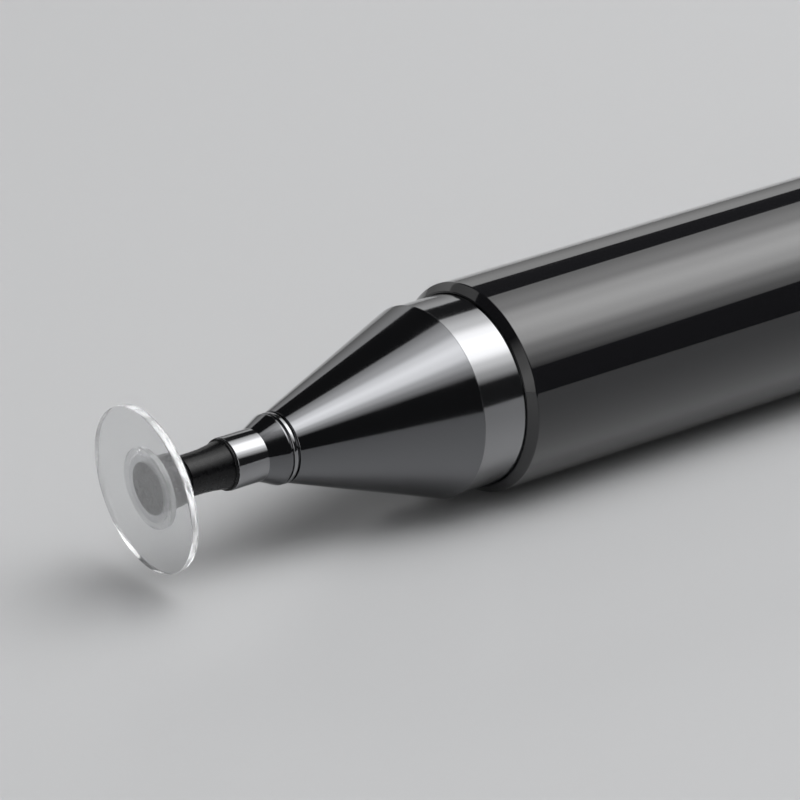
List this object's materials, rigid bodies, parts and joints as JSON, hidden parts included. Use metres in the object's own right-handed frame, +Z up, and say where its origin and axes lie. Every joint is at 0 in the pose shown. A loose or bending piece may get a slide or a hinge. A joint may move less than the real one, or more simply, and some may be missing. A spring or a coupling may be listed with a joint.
{
  "type": "disc stylus pen",
  "caption": "Slim capacitive stylus pen with a clear tilting touch disc at the tip and its clip cap posted on the tail.",
  "frame": {"origin": "on the desk, under the middle of the whole length and width of the lying pen", "axes": "+X along the pen from the touch disc to the tail, +Z up from the desk"},
  "size_m": [0.146, 0.0102, 0.009],
  "materials": {
    "clear_plastic": "clear, polished",
    "black_nylon": "satin black",
    "black_rubber": "matt black",
    "polished_steel": "polished bright steel",
    "steel": "fine turned steel",
    "black_chrome": "dark mirror finish",
    "black_lacquer": "high gloss black",
    "brass": "turned",
    "magnet": "nickel plated",
    "grey_rubber": "soft, matt",
    "fibre": "fine metallised weave"
  },
  "bodies": {
    "barrel": {"barrel_tube": "black_lacquer", "nose_cone": "black_chrome", "front_stop": "brass", "tie_rod": "steel", "rear_stop": "brass", "tail_collar": "black_chrome"},
    "seat_ring": {"seat_ring": "polished_steel"},
    "tip_unit": {"tip_holder": "black_chrome", "tip_ferrule": "polished_steel", "neck_sleeve": "black_nylon"},
    "ball_stud": {"ball_stud": "steel"},
    "socket": {"socket_cup": "black_nylon"},
    "disc": {"touch_disc": "clear_plastic", "hub_ring": "clear_plastic"},
    "tail_washer": {"tail_washer": "polished_steel"},
    "fibre_tip": {"fibre_holder": "black_chrome", "crimp_ring": "polished_steel", "fibre_core": "grey_rubber", "fibre_skin_dome": "fibre"},
    "grip_ring": {"grip_ring": "black_rubber"},
    "cap": {"cap_tube": "black_lacquer", "cap_magnet": "magnet", "cap_plug": "steel", "clip_ring": "polished_steel", "end_button": "black_chrome"},
    "clip": {"clip_arm": "polished_steel"}
  },
  "joints": [
    {"name": "seat_ring_travel", "type": "slide", "parent": "barrel", "child": "seat_ring", "axis": [-1, 0, 0], "range_m": [0, 0.0028]},
    {"name": "tip_unscrew", "type": "hinge", "parent": "seat_ring", "child": "tip_unit", "pos_m": [-0.0658, 0.00064, 0.0045], "axis": [-1, 0, 0], "range_deg": [0, 2520]},
    {"name": "stud_swivel", "type": "hinge", "parent": "tip_unit", "child": "ball_stud", "pos_m": [-0.07146, 0.00064, 0.0045], "axis": [1, 0, 0], "continuous": true},
    {"name": "disc_tilt", "type": "hinge", "parent": "ball_stud", "child": "socket", "pos_m": [-0.07146, 0.00064, 0.0045], "axis": [0, -0.8039, -0.5948], "range_deg": [-26, 13]},
    {"name": "disc_spin", "type": "hinge", "parent": "socket", "child": "disc", "pos_m": [-0.07146, 0.00064, 0.0045], "axis": [0.9938, -0.0663, 0.0896], "continuous": true},
    {"name": "tail_washer_travel", "type": "slide", "parent": "barrel", "child": "tail_washer", "axis": [1, 0, 0], "range_m": [0, 0.0028]},
    {"name": "fibre_tip_unscrew", "type": "hinge", "parent": "tail_washer", "child": "fibre_tip", "pos_m": [0.04706, 0.00064, 0.0045], "axis": [1, 0, 0], "range_deg": [0, 2520]},
    {"name": "cap_turn", "type": "hinge", "parent": "barrel", "child": "grip_ring", "pos_m": [0.04286, 0.00064, 0.0045], "axis": [1, 0, 0], "continuous": true},
    {"name": "cap_pull", "type": "slide", "parent": "grip_ring", "child": "cap", "axis": [1, 0, 0], "range_m": [0, 0.016]},
    {"name": "clip_flex", "type": "hinge", "parent": "cap", "child": "clip", "pos_m": [0.06986, -0.00441, 0.00108], "axis": [0, -0.5613, 0.8276], "range_deg": [0, 3.5], "stiffness_Nm_per_rad": 0.6, "springref_deg": -2.29}
  ],
  "couplings": [
    {"joint": "tip_unscrew", "follows": "seat_ring_travel", "rad_per_m": 15708},
    {"joint": "fibre_tip_unscrew", "follows": "tail_washer_travel", "rad_per_m": 15708}
  ]
}
